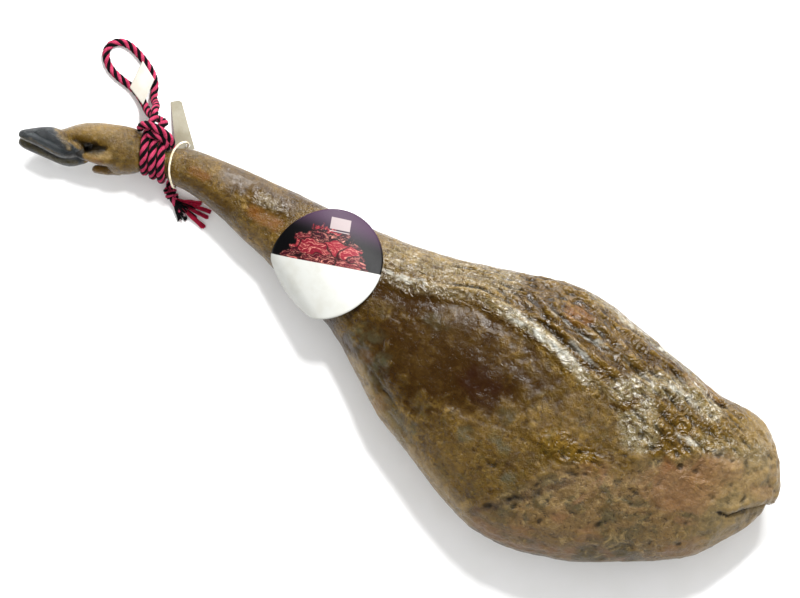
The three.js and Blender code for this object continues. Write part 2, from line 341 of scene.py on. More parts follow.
def addRope(store, line, start=0.0, scale=1.0, pitch=rope["pitch"]):
    normals, binormals = framesAlong(line)
    turned = 2 * math.pi * lengthsAlong(line) / pitch
    for strand in range(4):
        angle = start + turned + strand * math.pi / 2
        offset = np.cos(angle)[:, None] * normals + np.sin(angle)[:, None] * binormals
        centre = line + offset * rope["helixRadius"] * scale
        addTube(store, centre, rope["strandRadius"] * scale, sides=9, slot=strand % 2)


def ropePiece(name, node, lines, start=0.0, **lay):
    store = newStore()
    for number, line in enumerate(lines):
        addRope(store, line, start + 0.7 * number, **lay)
    return makePiece(name, store, (pinkYarn, blackYarn), [node])


loopPoints = legLine([
    (109.6, 78.6, 53.6), (107.6, 82.2, 50), (105.6, 86, 43), (104.8, 89, 34), (103.2, 91, 24.5),
    (100.6, 93, 15), (97.6, 96, 8), (95.4, 101, 4.6), (93.2, 107, 4.2), (89.5, 113, 4.2),
    (84, 118.5, 4.2), (77, 123.2, 4.2), (69, 127.3, 4.2), (60.5, 130.8, 4.2), (52, 133, 4.2),
    (44, 132.8, 4.2), (37.5, 129, 4.2), (33.8, 123, 4.2), (34, 116, 4.2), (38, 109.5, 4.2),
    (44, 104.5, 4.2), (51.5, 101, 4.2), (60, 98.8, 4.2), (69, 97, 4.2), (78, 94.3, 4.2),
    (86, 90.2, 4.6), (92, 86, 7.4), (96.6, 82.6, 14.2), (100.8, 80.2, 23), (105.2, 79, 32),
    (110.6, 78.8, 40.5), (116.2, 78.8, 48.5), (120.4, 78.5, 54.2)])
tailPoints = legLine([
    (141.5, 53.5, 8.6), (144.4, 49, 8), (146.6, 44.5, 7.2), (148.2, 40.5, 5.8), (149, 36, 4.8),
    (149.2, 31, 4.4), (149.6, 26, 4.6), (151.4, 21.4, 5.8), (154.6, 17.4, 6.8), (158.4, 14.2, 6.6),
    (162.4, 11.4, 5.8), (167, 8.8, 5.0), (171.5, 6.2, 4.6)])

loopLine = smoothRoute(loopPoints, rope["step"])
tailLine = smoothRoute(tailPoints, rope["step"])
ropeLoop = ropePiece("rope_loop_strands", "rope_loop", [loopLine])
ropeTail = ropePiece("rope_tail_strands", "rope_tail", [tailLine], start=1.2)

# the small knot near the end of the tail
tailKnot = {
    "centre": (155.2, 17.2, 7.2), "heading": -0.72, "turns": 1.75, "start": 2.2,
    "reach": 0.0036, "width": 0.0098, "scale": 0.78, "pitch": 0.017, "step": 0.0009,
}
share = np.linspace(0, 1, 60)
spin = 2 * math.pi * tailKnot["turns"] * share + tailKnot["start"]
axis = np.array([math.cos(tailKnot["heading"]), math.sin(tailKnot["heading"]), 0])
cross = np.array([-axis[1], axis[0], 0])
knotLine = (legLine(tailKnot["centre"]) + np.outer((share - 0.5) * tailKnot["width"], axis)
            + tailKnot["reach"] * (np.outer(np.cos(spin), cross) + np.outer(np.sin(spin), (0, 0, 1))))
tailKnotPiece = ropePiece("tail_knot_coils", "tail_knot", [smoothRoute(knotLine, tailKnot["step"])],
                          scale=tailKnot["scale"], pitch=tailKnot["pitch"])

# the tail's end is unlaid into its yarns, which are cut off blunt
tassel = {
    "root": (160, 12.5, 6),
    "bundles": [  # tip, height of the tip, yarns, spread, colour: 0 rose, 1 black, 2 raw white
        ((174.5, -2.8), 2.2, 8, 1.5, 1), ((180, 0.5), 2.0, 7, 1.3, 1), ((199.5, 0.8), 2.4, 9, 1.5, 0),
        ((198.5, 11.5), 2.6, 8, 1.3, 0), ((198.5, 18.0), 3.0, 8, 1.2, 0), ((187, 21.5), 4.2, 6, 1.6, 0),
        ((176, 4.5), 6.4, 9, 2.8, 1), ((188, 5.5), 3.2, 6, 1.4, 1), ((176.5, 9.5), 6.2, 8, 2.6, 1),
        ((184, 13.5), 5.0, 6, 2.2, 1)],
    "yarnRadius": 0.00062,
    "hairRadius": 0.00026,
    "step": 0.0012,
    # rubyDeep and rawDeep are painted shade for the grooves between the yarns
    "ruby": (196, 30, 66), "rubyDeep": (112, 12, 36), "raw": (232, 214, 212), "rawDeep": (150, 120, 128),
}
ruby = yarnFinish("ruby yarn", tassel["ruby"], tassel["rubyDeep"])
rawYarn = yarnFinish("frayed yarn ends", tassel["raw"], tassel["rawDeep"])
dice = random.Random(7)
store = newStore()
for tip, height, yarns, spread, slot in tassel["bundles"]:
    root = np.array(tassel["root"], float)
    end = np.array([tip[0], tip[1], height])
    lead = (end - root) / np.linalg.norm(end - root)
    cross = np.array([-lead[1], lead[0], 0])
    for k in range(yarns):
        angle = 2.4 * k
        out = math.sqrt((k + 0.3) / yarns)
        wide, tall = out * math.cos(angle), out * math.sin(angle)
        points = []
        for t in np.linspace(0, 1, 6):
            swell = 1.2 + (spread - 0.2) * t
            middle = root + (end - root) * t + np.array([0, 0, 1.6 * math.sin(math.pi * t)])
            points.append(middle + cross * wide * swell + np.array([0, 0, tall * swell * 0.62]))
            points[-1] += np.array([dice.uniform(-0.25, 0.25) for _ in range(3)])
            points[-1][2] = max(points[-1][2], 0.9)
        points[-1] += lead * dice.uniform(-1.3, 0.9)
        line = smoothRoute(legLine(points), tassel["step"])
        addTube(store, line, tassel["yarnRadius"] * dice.uniform(0.85, 1.2), 6, slot)
    if slot == 1:
        for k in range(4):  # pale broken filaments at the end of a black strand
            start = end - lead * dice.uniform(1, 4) + cross * dice.uniform(-1.2, 1.2)
            stop = end + lead * dice.uniform(0.5, 3.4) + cross * dice.uniform(-1.8, 1.8)
            start[2], stop[2] = max(start[2] + 0.5, 1.2), max(stop[2], 0.8)
            hair = legLine([start, (start + stop) / 2 + (0, 0, 0.3), stop])
            addTube(store, smoothRoute(hair, tassel["step"]), tassel["hairRadius"], 5, 2)
tasselPiece = makePiece("tassel_yarns", store, (ruby, blackYarn, rawYarn), ["tassel"])
print("rope laid")

turns = {
    "centre": (125.5, 44.6, 33), "reachY": 19.4, "reachZ": 21.8, "spacing": 9.4, "lean": 0.47,
    "from": -0.25, "to": 2.75, "scale": 1.06, "step": 0.0012,
}
turn = np.linspace(turns["from"], turns["to"], 90)
swing = turns["reachY"] * np.cos(2 * math.pi * turn)
lift = turns["reachZ"] * np.sin(2 * math.pi * turn)
drift = turns["spacing"] * (1.25 - turn) - turns["lean"] * swing - 0.1 * lift
wrapLine = legLine(np.stack([drift, swing, lift], axis=1) + turns["centre"])
ropePiece("rope_turns", "rope_wraps", [smoothRoute(wrapLine, turns["step"])], scale=turns["scale"])

knotPasses = [  # the cord crossing itself on top of the turns
    [(100.5, 62, 46), (101.5, 66, 53), (105.5, 68.6, 58.6), (113, 69.6, 61.4), (121.5, 69.2, 61.2),
     (129, 67.6, 58.6), (134.5, 64.4, 53.6), (136.8, 60, 47.5)],
    [(108.8, 79.4, 54), (108.4, 74.4, 55.2), (108.2, 69.6, 53.6), (108, 64.8, 52.6)],
    [(121, 79, 54.2), (119.4, 74.4, 56), (117.4, 70.2, 54.6), (116.4, 65.8, 53.4)],
    [(112, 60.8, 54.6), (117.8, 62.6, 56.6), (125, 63.6, 57), (131, 61.4, 54), (134.5, 57, 50)]]
ropePiece("rope_knot_passes", "rope_knot",
          [smoothRoute(legLine(points), rope["step"]) for points in knotPasses])

# the elastic band through the tag
elastic = {
    "radius": 0.00105, "flat": 0.8, "step": 0.0014, "cream": (236, 226, 200), "creamDark": (190, 172, 138),
}
bench = Finish("cream elastic", Specular_IOR_Level=0.4)
rib = bench.grain(2200, 2, 0.5)
base = bench.mix(bench.span(bench.grain(240, 4), 0.35, 0.7), elastic["cream"], elastic["creamDark"])
creamElastic = bench.finish(base, bench.span(rib, 0.3, 0.7, 0.42, 0.62), bench.bump(rib, 0.00012, 0.7))
bandPoints = legLine([
    (142.4, 46, 54), (140.8, 56, 50.6), (142.6, 65, 43.5), (146, 69.6, 33), (148.4, 70.3, 20),
    (149.4, 69.2, 10), (149.6, 66.4, 3.4), (149.8, 61, 4.2), (150.6, 52, 11.4), (152.4, 42, 12.6),
    (155.4, 31, 17.4), (157, 24.4, 27), (155.4, 24, 37), (151.2, 28.4, 46), (145.8, 36.4, 52.4)])
store = newStore()
addTube(store, smoothRoute(bandPoints, elastic["step"], closed=True), elastic["radius"], 10, closed=True,
        flat=elastic["flat"])
makePiece("elastic_band", store, (creamElastic,), ["tag_band"])
print("turns, knot and band made")


def addSheet(store, front, back):
    # a thin closed sheet between two grids of points
    rows, columns = front.shape[:2]
    start, under = store["count"], rows * columns
    store["points"].extend(map(tuple, np.concatenate([front, back]).reshape(-1, 3)))
    store["count"] += 2 * under
    at = lambda i, j: start + i * columns + j
    uv = lambda i, j: (i / (rows - 1), j / (columns - 1))
    for i in range(rows - 1):
        for j in range(columns - 1):
            corners = [(i, j), (i + 1, j), (i + 1, j + 1), (i, j + 1)]
            store["faces"].append(tuple(at(*c) for c in corners))
            store["faces"].append(tuple(at(*c) + under for c in reversed(corners)))
            store["uvs"].append(tuple(uv(*c) for c in corners))
            store["uvs"].append(tuple(uv(*c) for c in reversed(corners)))
    edge = ([(i, 0) for i in range(rows - 1)] + [(rows - 1, j) for j in range(columns - 1)]
            + [(i, columns - 1) for i in range(rows - 1, 0, -1)]
            + [(0, j) for j in range(columns - 1, 0, -1)])
    for c, d in zip(edge, edge[1:] + edge[:1]):
        store["faces"].append((at(*d), at(*c), at(*c) + under, at(*d) + under))
        store["uvs"].append((uv(*d), uv(*c), uv(*c), uv(*d)))
    store["slots"] += [0] * (len(store["faces"]) - len(store["slots"]))


def paperFinish(name, main, stain, rough, fibreSize=1500, bump=0.00006):
    bench = Finish(name, Specular_IOR_Level=0.35)
    fibre = bench.grain(fibreSize, 5, 0.7)
    base = bench.mix(bench.span(bench.grain(45, 5, 0.6), 0.38, 0.68), main, stain)
    base = bench.mix(bench.span(fibre, 0.3, 0.7, 0.0, 0.12), base, tuple(c * 0.72 for c in main))
    return bench.finish(base, bench.span(fibre, 0.3, 0.7, rough - 0.06, rough + 0.08),
                        bench.bump(fibre, bump, 0.7))


# the paper label lies over both runs of the loop
ropeLabel = {
    "corners": ((71, 95), (90.8, 85), (71, 125), (90, 113)),
    "height": 8.5,
    "thickness": 0.45,
    "rows": 26, "columns": 16,
    "white": (190, 187, 179), "whiteShade": (182, 177, 164),
}
middle = []
a, b, c, d = (np.array(p) for p in ropeLabel["corners"])
for s in np.linspace(0, 1, ropeLabel["rows"]):
    for t in np.linspace(0, 1, ropeLabel["columns"]):
        across, up = (1 - s) * ((1 - t) * a + t * b) + s * ((1 - t) * c + t * d)
        rise = 0.024 * max(across - 77, 0) ** 2 + 0.5 * math.sin(3.1 * s + 1.4 * t)
        middle.append((across, up, ropeLabel["height"] + rise))
middle = np.array(middle).reshape(ropeLabel["rows"], ropeLabel["columns"], 3)[:, ::-1]
halfSheet = (0, 0, ropeLabel["thickness"] / 2)
whitePaper = paperFinish("white label paper", ropeLabel["white"], ropeLabel["whiteShade"], 0.6)
store = newStore()
addSheet(store, legLine(middle + halfSheet), legLine(middle - halfSheet))
ropeLabelPiece = makePiece("paper_label", store, (whitePaper,), ["rope_label"])

# the hang tag keeps its cut outline and hole, and curls a little
hangTag = {
    "cell": 0.003, "curl": 0.0016, "ripple": 0.0006,
    "grey": (146, 142, 126), "greyShade": (132, 126, 106),
}
greyCard = paperFinish("grey board", hangTag["grey"], hangTag["greyShade"], 0.72, 900, 0.0001)
tagMesh = frame["nodes"]["hang_tag"].data.copy()
work = bmesh.new()
work.from_mesh(tagMesh)
bmesh.ops.remove_doubles(work, verts=work.verts, dist=1e-6)
bmesh.ops.triangulate(work, faces=work.faces)
for _ in range(3):
    long = [e for e in work.edges if e.calc_length() > hangTag["cell"]]
    bmesh.ops.subdivide_edges(work, edges=long, cuts=1)
    bmesh.ops.triangulate(work, faces=work.faces, quad_method="SHORT_EDGE")  # leaves no flat slivers
tagLow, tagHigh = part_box("hang_tag")
for v in work.verts:
    share = (tagHigh.y - v.co.y) / (tagHigh.y - tagLow.y)
    bow = hangTag["curl"] * math.sin(math.pi * share)
    v.co.z = max(v.co.z + bow - hangTag["ripple"] * math.sin(2.6 * math.pi * share), 0.0002)
work.to_mesh(tagMesh)
work.free()
tagMesh.materials.clear()
tagMesh.materials.append(greyCard)
placePiece("card_tag", tagMesh, ["hang_tag"])

# the round card label, bent over the leg about an axis that slants across it
label = {
    "crown": (327.5, 21.4, 78.8), "heading": -29.9, "climb": 0.165, "tilt": 0.115, "lift": 0.8,
    "halfLength": 52.5, "halfWidth": 61.5, "upperRadius": 110, "lowerRadius": 90,
    "lowerStart": 34, "tightRadius": 17, "steepest": 1.2, "thickness": 0.45,
    "rings": 30, "spokes": 120,
    "splitTurn": 45.3,  # degrees of the printed line to the label's long axis
    # printAndSheen is purple print with a painted sheen
    "meatDeep": (40, 3, 14), "meat": (122, 14, 34), "streak": (156, 54, 66), "fat": (206, 132, 118),
    "gap": (8, 1, 4), "night": (3, 2, 4), "printAndSheen": (62, 40, 62), "panel": (150, 138, 138),
    "bare": (186, 187, 182), "bareShade": (180, 180, 173), "edge": (212, 210, 204),
    "edgeShade": (204, 200, 190),
}


def bentAcross(q):
    # how far across, how far down and how steep the card is, q along it from its crown
    wide, low, tightRadius = label["upperRadius"], label["lowerRadius"], label["tightRadius"]
    if q >= 0:
        angle = q / wide
        return wide * math.sin(angle), wide * (1 - math.cos(angle)), -angle
    gentle = min(-q, label["lowerStart"]) / low
    tight = min(max(-q - label["lowerStart"], 0) / tightRadius, label["steepest"] - gentle)
    rest = max(-q - label["lowerStart"] - tightRadius * tight, 0)
    end = gentle + tight
    across = low * math.sin(gentle) + tightRadius * (math.sin(end) - math.sin(gentle))
    drop = low * (1 - math.cos(gentle)) + tightRadius * (math.cos(gentle) - math.cos(end))
    return -(across + rest * math.cos(end)), drop + rest * math.sin(end), end


heading = math.radians(label["heading"])


def labelPoint(p, q, lift):
    across, drop, slope = bentAcross(q)
    a = across - lift * math.sin(slope)
    return (label["crown"][0] + p * math.cos(heading) - a * math.sin(heading),
            label["crown"][1] + p * math.sin(heading) + a * math.cos(heading),
            label["crown"][2] - drop + label["climb"] * p + label["tilt"] * a + lift * math.cos(slope))


rings, spokes = label["rings"], label["spokes"]
flatSpots = [(0, 0)]
for ring in range(1, rings + 1):
    for k in range(spokes):
        a = 2 * math.pi * k / spokes
        flatSpots.append((ring / rings * label["halfLength"] * math.cos(a),
                          ring / rings * label["halfWidth"] * math.sin(a)))
half = len(flatSpots)
store = newStore()
for lift in (label["lift"], label["lift"] - label["thickness"]):
    store["points"].extend(map(tuple, legLine([labelPoint(p, q, lift) for p, q in flatSpots])))


def labelFace(corners, slot):
    store["faces"].append(corners)
    store["slots"].append(slot)
    store["uvs"].append([(flatSpots[c % half][0] / 100, flatSpots[c % half][1] / 100) for c in corners])


at = lambda ring, k: 1 + (ring - 1) * spokes + k % spokes
for k in range(spokes):
    labelFace((0, at(1, k), at(1, k + 1)), 0)
    labelFace((half, half + at(1, k + 1), half + at(1, k)), 1)
    for ring in range(1, rings):
        corners = (at(ring, k), at(ring + 1, k), at(ring + 1, k + 1), at(ring, k + 1))
        labelFace(corners, 0)
        labelFace(tuple(half + c for c in reversed(corners)), 1)
    labelFace((at(rings, k), half + at(rings, k), half + at(rings, k + 1), at(rings, k + 1)), 1)

bench = Finish("printed card", Specular_IOR_Level=0.2)
turned = bench.mapped(bench.wrap(), turn=-math.radians(label["splitTurn"]))
along, up = bench.parts(turned)[:2]
# slices: folded ribbons of dark red meat with pale seams of fat along them
waver = bench.node("ShaderNodeTexNoise", {"Vector": turned, "Scale": 6.0, "Detail": 2.0}).outputs["Color"]
push = bench.node("ShaderNodeVectorMath", {0: waver, 1: (0.16, 0.16, 0.0)}, operation="MULTIPLY").outputs[0]
bent = bench.node("ShaderNodeVectorMath", {0: turned, 1: push}, operation="ADD").outputs[0]
leaf = bench.mapped(bent, (0.75, 1.6, 1), 0.7)
fold = bench.cells(5.2, leaf, feature="DISTANCE_TO_EDGE")
foldTone = bench.parts(bench.cells(5.2, leaf, output="Color"))[0]
seam = bench.grain(15, 3, 0.5, bench.mapped(bent, (0.45, 2.2, 1), 0.9), twist=1.2)
vein = bench.grain(42, 3, 0.6, leaf, twist=1.0)
meat = bench.mix(bench.span(foldTone, 0.1, 0.9), label["meatDeep"], label["meat"])
meat = bench.mix(bench.span(vein, 0.55, 0.7, 0.0, 0.7), meat, label["streak"])
meat = bench.mix(bench.span(bench.apart(seam, 0.5), 0.0, 0.028, 0.85, 0.0), meat, label["fat"])
meat = bench.mix(bench.span(fold, 0.0, 0.07, 0.92, 0.0), meat, label["gap"])
# the heap is a low mound standing on the printed line
mound = bench.minus(0.37, bench.times(bench.sum("POWER", bench.apart(along, -0.02), 2), 1.7))
edgeNoise = bench.times(bench.minus(bench.grain(7, 4, 0.7, turned), 0.5), 0.5)
inHeap = bench.span(bench.minus(bench.plus(mound, edgeNoise), up), -0.005, 0.03)
# the purple print lightens towards the top edge as a painted sheen
printAndSheen = bench.span(bench.plus(up, bench.times(along, 0.12)), 0.26, 0.5)
dark = bench.mix(inHeap, bench.mix(printAndSheen, label["night"], label["printAndSheen"]), meat)
# a plain pale panel with a rule under it
inColumn = bench.span(bench.apart(along, 0.08), 0.105, 0.1)
panel, rule = (bench.times(inColumn, bench.span(bench.apart(up, height), outer, inner))
               for height, outer, inner in ((0.42, 0.062, 0.057), (0.34, 0.006, 0.003)))
dark = bench.mix(bench.sum("MAXIMUM", panel, rule), dark, label["panel"])
bare = bench.mix(bench.span(bench.grain(60, 4), 0.4, 0.7), label["bare"], label["bareShade"])
printed = bench.mix(bench.span(up, -0.001, 0.001), bare, dark)
fibre = bench.grain(1400, 4, 0.6)
printedCard = bench.finish(printed, bench.span(fibre, 0.3, 0.7, 0.42, 0.52), bench.bump(fibre, 0.00003, 0.5))
cardEdge = paperFinish("card edge", label["edge"], label["edgeShade"], 0.7)
makePiece("card_label_print", store, (printedCard, cardEdge), ["card_label"])
print("labels and tag cut")

ham = {
    "voxel": 0.0018,
    "smoothing": 70,
    # flesh in the cleft behind the claws: centre and reach
    "fillers": [((64, 21, 20), (15, 8, 9)), ((48, 12, 16), (15, 8, 9)), ((28, 6, 13), (18, 6, 8))],
}


def evenMesh(voxel):
    # the ham's solid with the fillers in it, made over into one even skin
    source = bpy.data.objects.new("ham_source", frame["nodes"]["ham"].data.copy())
    bpy.context.scene.collection.objects.link(source)
    work = bmesh.new()
    work.from_mesh(source.data)
    bmesh.ops.remove_doubles(work, verts=work.verts, dist=1e-6)
    for centre, reach in ham["fillers"]:
        for v in bmesh.ops.create_icosphere(work, subdivisions=3, radius=1)["verts"]:
            v.co = legPoint(*(c + r * w for c, r, w in zip(centre, reach, v.co)))
    work.to_mesh(source.data)
    work.free()
    remesh = source.modifiers.new("even", "REMESH")
    remesh.mode, remesh.voxel_size = "VOXEL", voxel
    graph = bpy.context.evaluated_depsgraph_get()
    made = bpy.data.meshes.new_from_object(source.evaluated_get(graph))
    bpy.data.objects.remove(source)
    made.name = "ham_meat"
    return made


hamMesh = evenMesh(ham["voxel"] * (1))
count = len(hamMesh.vertices)
raw = np.zeros(count * 3)
hamMesh.vertices.foreach_get("co", raw)
spots = (raw.reshape(-1, 3) - legOrigin) * 1000  # leg millimetres
edges = np.zeros(len(hamMesh.edges) * 2, int)
hamMesh.edges.foreach_get("vertices", edges)
edges = edges.reshape(-1, 2)
neighbours = np.bincount(edges.ravel(), minlength=count).astype(float)


def average(values):
    # each place's mean over its neighbours, for a value or for points
    if values.ndim == 2:
        return np.stack([average(column) for column in values.T], axis=1)
    total = (np.bincount(edges[:, 0], values[edges[:, 1]], count)
             + np.bincount(edges[:, 1], values[edges[:, 0]], count))
    return total / neighbours


def relax(points, passes, weight):
    for _ in range(passes):
        for pull in (0.6, -0.62):  # the second half step gives back what the first one shrank
            points = points + (average(points) - points) * (pull * weight)[:, None]
    return points


def ease(value, low, high):
    t = np.clip((value - low) / (high - low), 0, 1)
    return t * t * (3 - 2 * t)


def grain(points, size, octaves=4, shift=0.0, ridged=False):
    places = (np.asarray(points) / size + shift).tolist()
    if ridged:
        return np.array([1 - 2 * abs(noise.noise(p)) for p in places])
    return np.array([noise.fractal(p, 1.0, 2.0, octaves) for p in places])


spots = relax(spots, 4, np.ones(count))
spots = relax(spots, ham["smoothing"], ease(spots[:, 0], 62, 110))


def surfaceNormals(points):
    hamMesh.vertices.foreach_set("co", (points / 1000 + legOrigin).ravel())
    hamMesh.update()
    flatNormals = np.zeros(count * 3, np.float32)
    hamMesh.vertex_normals.foreach_get("vector", flatNormals)
    return flatNormals.reshape(-1, 3).astype(float)


normals = surfaceNormals(spots)
x, y, z = spots.T
onTop = ease(normals[:, 2], 0.0, 0.45)


def nearPath(path):
    # distance to a path seen from above, which side (left +), and the share along it
    path = np.array(path, float)
    lengths = np.linalg.norm(np.diff(path, axis=0), axis=1)
    total, passed = lengths.sum(), 0.0
    best, side, share = np.full(count, 1e9), np.zeros(count), np.zeros(count)
    for a, b, length in zip(path[:-1], path[1:], lengths):
        lead = (b - a) / length
        dx, dy = x - a[0], y - a[1]
        t = np.clip(dx * lead[0] + dy * lead[1], 0, length)
        away = np.hypot(dx - lead[0] * t, dy - lead[1] * t)
        closer = away < best
        best = np.where(closer, away, best)
        side = np.where(closer, np.sign(lead[0] * dy - lead[1] * dx), side)
        share = np.where(closer, (passed + t) / total, share)
        passed += length
    return best, side, share


def band(path, width, soft=0.6):
    away, _, _ = nearPath(path)
    return 1 - ease(away, width * (1 - soft), width * (1 + soft))


def oval(cx, cy, rx, ry, turn, ragged):
    # how far each place is from an oval's middle, as a share of its reach
    c, s = math.cos(math.radians(turn)), math.sin(math.radians(turn))
    u, v = ((x - cx) * c + (y - cy) * s) / rx, ((y - cy) * c - (x - cx) * s) / ry
    return np.hypot(u, v) + ragged * raggedness


def patch(cx, cy, rx, ry=None, turn=0.0, ragged=0.45):
    return 1 - ease(oval(cx, cy, rx, ry or rx, turn, ragged), 0.55, 1.3)


def patches(*ovals):
    # patches laid over each other, each with its weight before its measures
    return sum(weight * patch(*measures) for weight, *measures in ovals)


# shares round the leg, for grain that runs lengthwise
slices, slab = 88, 10  # how many, and how long each one is
bins = np.clip(((x + slab) / slab).astype(int), 0, slices - 2)
low, high, tops = np.full(slices, 1e9), np.full(slices, -1e9), np.zeros(slices)
np.minimum.at(low, bins, y)
np.maximum.at(high, bins, y)
np.maximum.at(tops, bins, z)
low[-1], high[-1], tops[-1] = low[-2], high[-2], tops[-2]
slabAt = np.arange(slices) * slab - slab / 2
middleY = np.interp(x, slabAt, (low + high) / 2)
halfY = np.interp(x, slabAt, (high - low) / 2)
middleZ = np.interp(x, slabAt, tops / 2)
mainRidge = [(372, 38), (411, 39), (445, 49), (478, 61), (517, 56), (540, 55), (561, 50), (578, 44),
             (601, 33), (627, 31)]
lowEdge, highEdge = middleY - halfY, middleY + halfY
ridgeAt = np.interp(x, [px for px, _ in mainRidge] + [700, 800], [py for _, py in mainRidge] + [22, 14])
ridgeAt = np.where(x < 372, middleY + 0.3 * halfY, ridgeAt)
across = np.where(y < ridgeAt, -1 + 1.3 * (y - lowEdge) / np.maximum(ridgeAt - lowEdge, 4),
                  0.3 + 0.7 * (y - ridgeAt) / np.maximum(highEdge - ridgeAt, 4))
angle = np.arctan2((z - middleZ) / np.maximum(middleZ, 5), across)
girth = 4 + 9 * ease(x, 60, 420)
lengthwise = np.stack([x / 70, girth * np.cos(angle), girth * np.sin(angle)], axis=1)

raggedness = grain(spots, 11, 2, 3.7)
broad = grain(spots, 60, 3, 11.3)
middling = grain(spots, 22, 3, 5.1)
fine = grain(spots, 7.5, 1, 1.9)
strands = grain(lengthwise, 1.0, 2, 8.2)
creases = (grain(lengthwise * (0.7, 0.9, 0.9) + middling[:, None] * 0.5, 1.0, 1, 2.4, ridged=True)
           + 0.6 * grain(lengthwise * (0.9, 1.6, 1.6) + middling[:, None] * 0.6, 1.0, 1, 7.7, ridged=True))

wrinkles = grain(spots * (0.6, 1, 1) + middling[:, None] * 9, 10, 2, 4.4, ridged=True)
slant = np.stack([(x * 0.94 - y * 0.34) * 0.22, (x * 0.34 + y * 0.94) * 1.5, z * 1.5], axis=1)
ripples = (grain(slant + 2 * middling[:, None], 14, 1, 9.1, ridged=True)
           + 0.6 * grain(slant + 1.5 * middling[:, None], 8, 1, 3.3, ridged=True))

isShank = 1 - ease(x, 250, 330)
isHoof = 1 - ease(x, 30, 44)
isFoot = 1 - ease(x, 60, 105)
isBody = ease(x, 330, 400)
butt = ease(x, 745, 800)

# where the smooth, oily skin ends and the dry cut side begins
dryEdge = [(560, -150), (570, -123), (603, -80), (625, -54), (665, -34), (680, -38), (694, -12),
           (745, 19), (800, 45), (850, 60)]
away, side, _ = nearPath(dryEdge)
isDry = np.where(side < 0, 1, -1) * away
isDry = ease(isDry + 5 * raggedness, -4, 9) * ease(x, 540, 570) * onTop

height = np.zeros(count)


def ridge(path, width, tall, rough=0.5, sharp=2.0, wander=2.0, tipFade=0.3):
    global height
    away, _, share = nearPath(path)
    away = np.maximum(away + wander * (middling + 0.4 * strands), 0)
    ends = ease(share, 0, tipFade) * ease(1 - share, 0, tipFade)
    profile = np.exp(-(away / width) ** sharp)
    height = height + tall * profile * ends * (1 + rough * 1.2 * strands) * onTop


def lump(cx, cy, rx, ry, tall, turn=0.0, ragged=0.25):
    global height
    height = height + tall * np.exp(-oval(cx, cy, rx, ry, turn, ragged) ** 2 * 1.2) * onTop


# general unevenness of the cured skin
upperLimit = np.interp(x, [330, 420, 520, 600, 700, 830], [20, 40, 50, 30, -10, 10])
upperSide = ease(y - upperLimit, -6, 22) * isBody * onTop
calm = patch(500, -20, 95, 55, 10, 0.2) * onTop
swells = 0.6 + (0.5 + ease(x, 640, 730)) * upperSide + 0.9 * isDry
height += (1.3 * broad * isBody + swells * middling * (0.25 + 0.75 * isBody)
           + (0.28 - 0.15 * upperSide + 0.35 * isDry) * fine * (1 - 0.75 * calm)) * (1 - isHoof * 0.8)
height += (0.35 - 0.15 * upperSide + 0.3 * isDry) * (wrinkles - 0.3) * isBody * (1 - 0.6 * calm)
height += 1.7 * upperSide * ripples * ease(x, 430, 520) * (1 - 0.5 * butt)
gathered = 1 - 0.85 * ease(x, 640, 730)
height += ((0.25 + 0.5 * upperSide) * strands + (0.1 + 0.3 * upperSide) * creases) * gathered * (
    0.3 + 0.7 * isBody) * (1 - 0.75 * calm) * (1 - isFoot)
height += 0.4 * isShank * (1 - isFoot) * grain(spots * (0.25, 1, 1), 6, 2, 6.6)

crease = [(px, py - 10) for px, py in mainRidge[:6]]
ridge(mainRidge, 10, 1.9)
ridge([(px, py + 1) for px, py in mainRidge], 3, 1.3, rough=1.0, wander=3)
ridge(crease, 8, -1.0)
for number, (shift, tall) in enumerate(((7, 0.9), (13, 1.1), (19, 0.8), (26, 0.9))):
    path = [(px + 4 * number, py + shift + 2 * math.sin(px / 23 + number)) for px, py in mainRidge]
    ridge(path, 2.8, tall, wander=5)
folds = [  # lengthwise folds of the skin above the main ridge
    [(500, 92), (532, 84), (560, 67), (592, 58), (624, 52), (662, 51)],
    [(480, 96), (520, 99), (566, 104), (622, 92), (675, 80), (727, 70)],
    [(556, 86), (593, 75), (625, 71), (652, 69), (690, 72)],
    [(430, 74), (470, 82), (505, 80), (540, 72), (572, 57)],
    [(575, 96), (610, 84), (650, 77), (700, 68)]]
for number, path in enumerate(folds):
    ridge(path, 4.5, 2.8 - 0.25 * number, rough=1.0, wander=5)
    ridge([(px, py - 7.5) for px, py in path], 3.4, -1.8, rough=1.0, wander=5)
ridge([(589, 46), (618, 45), (648, 43)], 4, -1.2, wander=4)
# a ridge whose broad grey sheen is painted into the colour further down
sheenArc = [(644, 36), (665, 55), (696, 61), (716, 66), (737, 58)]
ridge(sheenArc, 6, 3.2)
ridge([(718, 71), (736, 70), (756, 69)], 3.6, -3.4)
hook = [(675, 35), (687, 17), (692, 6), (687, -3), (674, -4)]
ridge(hook, 4.6, 3.4)
ridge([(712, 3), (726, -2), (734, 13)], 3.6, 2.2)
buttFold = [(738, 22), (766, 30), (796, 42)]
ridge(buttFold, 7, 2.0)
ridge([(655, 75), (690, 82), (725, 84)], 7, 2.0)
lump(689, -14, 10, 9, 4.2)
lump(732, -5, 4, 4, -3.4)
lump(580, -14, 3.2, 2.6, 1.6, ragged=0.5)
lump(582, -31, 3.4, 2.4, 1.6, ragged=0.5)
# the lower edge is rolled, with a groove inside it
rolledEdge = [(395, -58), (436, -88), (494, -117), (561, -148)]
ridge(rolledEdge, 9, 1.8, wander=4)
ridge([(392, -42), (409, -46), (440, -72), (471, -95), (516, -122)], 7, -1.1, rough=1.2, wander=5)
